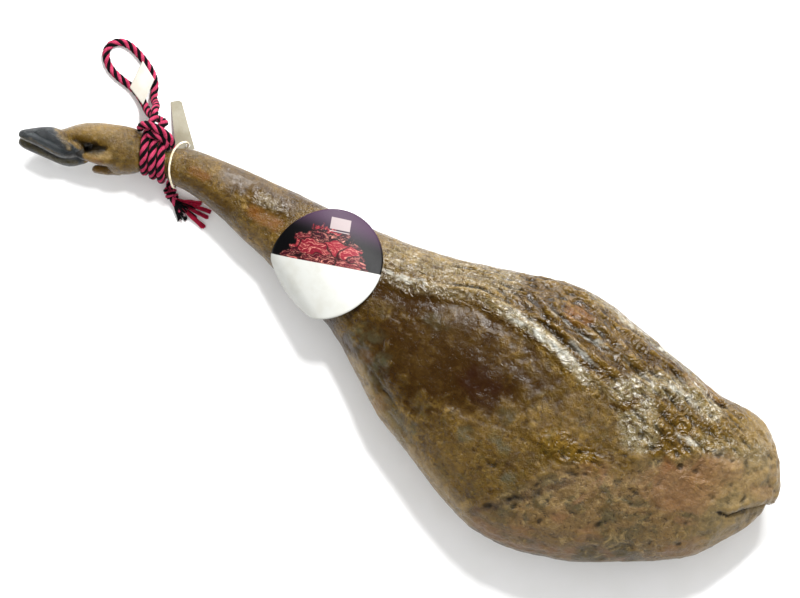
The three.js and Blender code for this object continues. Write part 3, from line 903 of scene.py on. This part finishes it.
# where skin gives way to the cut side
ridge(dryEdge[1:8], 5, 1.5, rough=1.3, wander=4)
ridge([(px + 6, py - 7) for px, py in dryEdge[1:7]], 4, -0.7, rough=1.5, wander=4)
redEdge = [(568, -135), (603, -103), (640, -65)]
ridge(redEdge, 3.2, -0.7, rough=1.2, wander=3)
pits = ((577, -123, 4), (601, -113, 3), (629, -115, 5), (684, -91, 5), (765, -74, 4), (804, -7, 4),
        (560, -86, 6))
for cx, cy, r in pits:
    lump(cx, cy, r * 1.4, r * 0.6, -1.5, turn=cx % 90, ragged=1.3)
height += 1.3 * patch(628, -40, 34, 14) * (grain(spots * (0.7, 1, 1), 9, 1, 6.1, ridged=True) - 0.3)
# the crack across the end, its upper lip hanging over
crack = [(780, -30), (798, -27), (809, -16), (823, -6), (834, 2)]
away, side, share = nearPath(crack)
away = away + 1.6 * middling * side
within = ease(share, 0, 0.25) * onTop * ease(x, 772, 784)
height += within * np.where(side > 0, 3.4 * np.exp(-(away / 9) ** 2), -2.6 * np.exp(-(away / 8) ** 2))
height -= within * 5 * np.exp(-(np.maximum(away, 0) / (2 + 3.2 * share)) ** 2)
height -= 6.5 * ease(x - 0.35 * y, 806, 832) * (side < 0) * ease(away, 0, 3)  # the lobe below stands back
# the skin flap before the label, and cracks beside the foot
ridge([(262, 70), (280, 68), (297, 69)], 4, 1.2)
lump(246, 53, 17, 9, 0.9)
lump(100, 45, 3, 3, -1.0)
lump(197, 45, 1.6, 1.6, -0.8)

# nothing stands up under the card label or the rope's turns
covered = 1 - ease(oval(*label["crown"][:2], 56, 62, label["heading"], 0), 0.9, 1.12)
alongTurns = x + turns["lean"] * (y - turns["centre"][1])
tied = ease(alongTurns, 101, 108) * (1 - ease(alongTurns, 142, 149))
height = np.where(height > 0, height * (1 - covered * onTop) * (1 - tied), height)
spots = spots + normals * height[:, None]
spots[:, 2] = np.maximum(spots[:, 2], 0.15)
normals = surfaceNormals(spots)
print("ham shaped,", count, "points")

# how far each place lies in a hollow
hollow = ((average(spots) - spots) * normals).sum(axis=1)
hollow = np.clip(average(average(hollow)) / 0.12, -1, 1)

hornEdge = np.interp(y, [4, 10, 14, 16.5, 18.5, 20, 26, 32], [66, 64, 60, 56, 44, 31, 25, 22])
horn = 1 - ease(x - hornEdge + 1.5 * raggedness, -2, 2)
soleLine = [(-6, 0), (8, -1), (22, -3), (40, -3), (57, 3)]
glintPaths = [  # where a painted highlight lies as a thin shining line along a fold, and its width
    ([(500, 59), (524, 55.5), (540, 54), (561, 50), (578, 44), (614, 30)], 3.4),
    ([(530, 90), (556, 75), (607, 67), (654, 66)], 1.6), ([(575, 60), (596, 52), (627, 44)], 1.5),
    ([(596, 106), (637, 99), (701, 83), (740, 70)], 1.3), ([(660, 54), (700, 60), (730, 57)], 2.2),
    ([(376, 42), (398, 42), (424, 46), (452, 53)], 1.5), ([(708, 22), (742, 22), (768, 27)], 1.8)]
paintedGlint = np.zeros(count)
for path, width in glintPaths:
    away, _, share = nearPath(path)
    line = 1 - ease(away + 4.5 * fine + 3 * middling, 0.3 * width, 1.7 * width)
    paintedGlint = np.maximum(paintedGlint, line * ease(share, 0, 0.25) * ease(1 - share, 0, 0.45))

masks = {  # where each colour and finish goes, from 0 to 1
    "horn": horn,
    "sole": np.minimum(band(soleLine, 2.4) + patch(3, -2, 7, 5), 1) * horn,
    "rind": (band([(25, 25), (31, 20), (42, 16), (46, 13)], 1.7)
             + 0.5 * band([(5, 5), (9, 4.3), (22, 3.2), (39, 3)], 0.9)),
    # painted shade in the cleft between the claws and in small gaps by the sole
    "cleftShade": (patches((1, 12.4, 1.6, 5, 2.2, 0, 0.3), (1, 26.5, 0, 4, 1.8, -10, 0.3),
                    (1, 49.4, 6.5, 5, 2, 20, 0.3), (1, 35, 0.5, 5, 1.6, 0, 0.3))
            + patch(66, 23, 13, 6, 10, 0.3) * ease(x, 50, 56)
            + band([(55.5, 11.5), (60.5, 17.3), (69.6, 23.9), (78, 29)], 2.2)),
    "dry": isDry,
    "wet": (patches((0.7, 245, 52, 26, 11), (1, 628, -38, 36, 15), (0.6, 745, -2, 40, 18))
            + (upperSide * (1 - 0.5 * butt) + band(mainRidge, 10)) * (1 - isDry)),
    # painted highlight along the upper edge and the main ridge and painted sheen on sheenArc; the band by
    # the label, the hook, the butt fold and the patches are pale crust
    "crustAndSheen": (0.7 * onTop * band([(575, 108), (610, 104), (650, 94), (690, 84), (716, 76)], 4)
              + 0.55 * band([(385, 60), (429, 66), (470, 76), (500, 84)], 13)
              + 0.5 * band(mainRidge, 6)
              + band([(505, 58), (524, 55), (540, 54), (561, 50), (578, 44), (608, 32)], 5)
              + 1.2 * band(sheenArc, 10) + 1.1 * band(hook, 8) + 0.6 * band(buttFold, 9)
              + patches((1.2, 670, 13, 16), (0.5, 250, 52, 16, 8))),
    "paintedGlint": paintedGlint * onTop * ease(creases + 2 * fine, -1.0, 0.5),
    "amber": patches((0.8, 575, 85, 16, 11), (0.6, 405, -44, 8), (0.6, 437, -79, 8), (1, 718, -9, 8),
                     (1, 252, 36, 22, 8), (0.8, 175, 47, 11, 6), (0.7, 75, 10, 14, 6),
                     (0.6, 720, 74, 24, 8)),
    "meat": (patches((0.9, 520, -20, 24, 20), (1, 355, -29, 9, 6), (0.6, 66, 22, 10, 7))
             + 0.8 * band([(264, 71), (280, 69), (297, 70)], 3) + 0.6 * band(redEdge, 4)),
    "mould": (patches((1, 420, -41, 10), (1, 472, -94, 11), (1, 526, -70, 9), (1, 554, -59, 8),
                      (1, 566, -66, 7), (1, 584, -92, 8), (0.6, 555, -33, 10), (0.5, 100, 45, 7),
                      (0.8, 398, -20, 16, 9), (0.6, 452, 18, 14, 7))
              + 0.7 * band([(384, -30), (409, -48), (440, -74), (475, -99)], 7)),
    "pale": (patches((0.4, 689, -14, 11), (0.6, 580, -14, 3.6), (0.6, 582, -31, 3.6))
             + 0.8 * band(rolledEdge, 10) + 0.8 * butt + 0.5 * isFoot * ease(y, 20, 45)
             + band([(59, 10), (66, 13.5), (76, 19), (84, 24)], 4)),
    "dark": np.minimum(
        patch(488, -14, 100, 50, 12, 0.5) + 0.45 * patch(440, 10, 90, 60, 0, 0.4) * (1 - upperSide)
        + 0.6 * band(crease, 12) + 0.6 * upperSide * ease(x, 490, 530) * (1 - ease(x, 690, 740))
        + band([(205, 61), (232, 57), (262, 52)], 13) + 0.5 * band([(168, 34), (190, 30), (214, 27)], 7)
        + 0.5 * band([(380, -42), (409, -56), (440, -82), (471, -104), (516, -128)], 9), 1) * onTop,
    "hollow": hollow * 0.5 + 0.5,
}
layer = hamMesh.attributes.new("flow", "FLOAT_VECTOR", "POINT")
layer.data.foreach_set("vector", lengthwise.astype(np.float32).ravel())
for name, values in masks.items():
    layer = hamMesh.attributes.new(name, "FLOAT", "POINT")
    layer.data.foreach_set("value", np.clip(values, 0, 1).astype(np.float32))

paints = {
    "olive": (76, 55, 4), "tan": (102, 76, 18), "darkOlive": (40, 21, 0), "straw": (150, 120, 56),
    "cutTan": (104, 80, 42), "cutGrey": (78, 66, 36), "cutOrange": (118, 82, 48), "moss": (62, 54, 18),
    "crustAndSheenWhite": (208, 204, 190), "crustAndSheenGrey": (118, 108, 78), "amber": (108, 64, 14),
    "meat": (34, 9, 0), "paintedGlint": (184, 184, 174), "mould": (70, 70, 50), "pale": (146, 122, 76),
    "shadeAndSpeck": (14, 8, 0), "horn": (20, 24, 26), "hornPale": (66, 70, 72), "sole": (62, 54, 22),
}
bench = Finish("cured skin and meat", Specular_IOR_Level=0.45)
where = {name: bench.attribute(name) for name in masks}
cloud = bench.grain(16, 6, 0.6)
speck = bench.grain(95, 5, 0.65)
fibreLine = bench.grain(1.6, 5, 0.62, place=bench.flow(), twist=0.4)
wrinkle = bench.grain(1.9, 4, 0.6, place=bench.flow((1.8, 1, 1)), twist=0.35, kind="RIDGED_MULTIFRACTAL")
flake = bench.grain(290, 4, 0.65, place=bench.place((0.6, 1, 1)), twist=0.6)
freckle = bench.grain(420, 3, 0.6)
facets = bench.grain(105, 2, 0.5, twist=1.2)
rugged = bench.grain(230, 6, 0.72, twist=0.8)
ripple = bench.grain(60, 5, 0.7, twist=1.6)


def twoTone(pattern, low, high, first, second):
    return bench.mix(bench.span(pattern, low, high), paints[first], paints[second])


def stain(base, pattern, low, high, most, paint):
    return bench.mix(bench.span(pattern, low, high, 0.0, most), base, paints[paint])


def lay(base, mask, low, high, paint, pattern=None):
    # paint over the base where the mask says, with an edge broken up by the pattern
    broken = bench.span(pattern or speck, 0.3, 0.66, low, high)
    return bench.mix(bench.times(where[mask], broken, True), base, paint)


base = twoTone(cloud, 0.38, 0.62, "olive", "tan")
# darkOlive where rugged is low and straw where it is high are painted shade in the bump's pits and painted
# highlight on its peaks; the other stains are random tone
for pattern, low, high, most, paint in (
        (fibreLine, 0.42, 0.66, 0.3, "darkOlive"), (bench.grain(8, 4, 0.6), 0.45, 0.62, 0.5, "olive"),
        (speck, 0.48, 0.66, 0.45, "darkOlive"), (bench.grain(52, 5, 0.65), 0.52, 0.7, 0.5, "straw"),
        (ripple, 0.5, 0.66, 0.45, "moss"), (rugged, 0.49, 0.36, 0.75, "darkOlive"),
        (rugged, 0.54, 0.7, 0.35, "straw")):
    base = stain(base, pattern, low, high, most, paint)
base = lay(base, "dark", 0.95, 0.55, paints["darkOlive"], cloud)
cut = twoTone(bench.grain(22, 4, 0.6, twist=1.0), 0.45, 0.57, "cutTan", "cutGrey")
# darkOlive where rugged is low and pale where it is high are painted shade in the bump's pits and painted
# highlight on its peaks; the other stains are random tone
for pattern, low, high, most, paint in (
        (ripple, 0.52, 0.68, 0.7, "pale"), (rugged, 0.48, 0.36, 0.75, "darkOlive"),
        (rugged, 0.56, 0.7, 0.45, "pale"), (speck, 0.5, 0.68, 0.6, "olive"),
        (bench.grain(14, 5, 0.6, twist=1.0), 0.5, 0.62, 0.6, "cutOrange")):
    cut = stain(cut, pattern, low, high, most, paint)
base = bench.mix(where["dry"], base, cut)
for mask, low, high in (("pale", 0.15, 0.8), ("amber", 0.2, 0.8), ("meat", 0.95, 0.55), ("mould", 0.0, 0.6)):
    base = lay(base, mask, low, high, paints[mask])
# pale crust, with painted highlight and painted sheen along the ridges
scale = twoTone(flake, 0.5, 0.66, "crustAndSheenGrey", "crustAndSheenWhite")
base = lay(base, "crustAndSheen", 0.0, 0.9, scale, bench.minus(rugged, 0.02))
# painted highlight lines along the folds
base = lay(base, "paintedGlint", 0.0, 0.85, paints["paintedGlint"])
# painted shade darkens the hollows and painted highlight lightens the rises
base = stain(base, where["hollow"], 0.58, 0.95, 0.7, "shadeAndSpeck")
base = stain(base, where["hollow"], 0.4, 0.05, 0.2, "straw")
wetWrinkle = bench.times(bench.span(wrinkle, 0.4, 0.9, 0.0, 0.7), where["wet"])
base = bench.mix(wetWrinkle, base, paints["darkOlive"])
# dark specks at random
base = stain(base, freckle, 0.6, 0.76, 0.5, "shadeAndSpeck")
hornGrain = bench.grain(140, 4, 0.6, place=bench.place((0.12, 1, 1)))
base = bench.mix(where["horn"], base, twoTone(hornGrain, 0.4, 0.7, "horn", "hornPale"))
base = lay(base, "sole", 0.5, 1.0, paints["sole"])
base = lay(base, "rind", 0.0, 0.8, paints["pale"], bench.minus(rugged, 0.06))
# painted shade in the cleft between the claws
base = lay(base, "cleftShade", 0.95, 0.75, paints["shadeAndSpeck"])
rough = bench.span(cloud, 0.3, 0.7, 0.2, 0.32)
rough = bench.minus(rough, bench.times(where["wet"], bench.span(speck, 0.35, 0.65, 0.12, 0.02)))
rough = bench.plus(rough, bench.times(where["dry"], 0.18), True)
# fine tooth where the skin is dry, smooth shining facets where it is wet
smooth = bench.sum("MAXIMUM", bench.times(where["wet"], 0.8), bench.times(where["dark"], 0.7))
tooth = bench.minus(1.0, smooth)
grown = bench.plus(bench.times(fibreLine, 0.15), bench.times(bench.times(speck, tooth), 0.5))
grown = bench.plus(grown, bench.times(bench.times(wrinkle, where["wet"]), 0.25))
normal = bench.bump(grown, 0.0026, 0.7)
normal = bench.bump(bench.times(facets, bench.plus(where["wet"], 0.13)), 0.006, 0.8, normal)
normal = bench.bump(bench.times(rugged, tooth), 0.0022, 0.8, normal)
normal = bench.bump(bench.times(flake, tooth), 0.0006, 0.7, normal)
bench.finish(base, rough, normal)
hamMesh.materials.clear()
hamMesh.materials.append(bench.material)
hamMesh.polygons.foreach_set("use_smooth", [True] * len(hamMesh.polygons))
hamMesh.polygons.foreach_set("material_index", [0] * len(hamMesh.polygons))
placePiece("ham_meat", hamMesh, ["ham"])
print("ham finished")

bench = Finish("pale floor")
pale = bench.mix(bench.span(bench.grain(30, 3), 0.3, 0.7), (250, 250, 250), (247, 247, 246))
bench.finish(pale, 0.9)
floorMesh = bpy.data.meshes.new("floor")
floorMesh.from_pydata([(-4, -4, 0), (4, -4, 0), (4, 4, 0), (-4, 4, 0)], [], [(0, 1, 2, 3)])
floorMesh.materials.append(bench.material)
floor = bpy.data.objects.new("floor", floorMesh)
bpy.context.scene.collection.objects.link(floor)

upward = np.array([-math.sin(math.radians(view["turn"])), math.cos(math.radians(view["turn"])), 0])
rightward = np.array([upward[1], -upward[0], 0])
lights = [  # name, kind, right, up, height, size, strength
    ("window", "SUN", 0.35, 1.0, 0.95, 0.12, 1.25),
    ("lamp", "AREA", 0.3, 0.95, 1.65, 0.2, 30),
    ("strip", "AREA", 0.5, 1.9, 0.9, 0.4, 34),
]
for name, kind, right, up, tall, size, strength in lights:
    data = bpy.data.lights.new(name, kind)
    data.energy = strength
    if kind == "SUN":
        data.angle = size
    else:
        data.size = size
    lamp = bpy.data.objects.new(name, data)
    lamp.location = Vector(rightward * right + upward * up + np.array([0, 0, tall]))
    lamp.rotation_euler = (Vector((0, 0, 0.04)) - lamp.location).to_track_quat("-Z", "Y").to_euler()
    bpy.context.scene.collection.objects.link(lamp)
world = bpy.data.worlds.new("studio")
world.use_nodes = True
sky = world.node_tree.nodes
mirrored = sky.new("ShaderNodeLightPath").outputs["Is Glossy Ray"]
# a bright tent for the shading; reflections see a dim room and its lamps
level = sky.new("ShaderNodeMapRange")
for socket, value in (("From Min", 0.0), ("From Max", 1.0), ("To Min", 0.92), ("To Max", 0.07)):
    level.inputs[socket].default_value = value
world.node_tree.links.new(mirrored, level.inputs["Value"])
world.node_tree.links.new(level.outputs["Result"], sky["Background"].inputs["Strength"])
sky["Background"].inputs["Color"].default_value = (1, 1, 1, 1)
bpy.context.scene.world = world
bpy.context.scene.view_settings.view_transform = "Standard"
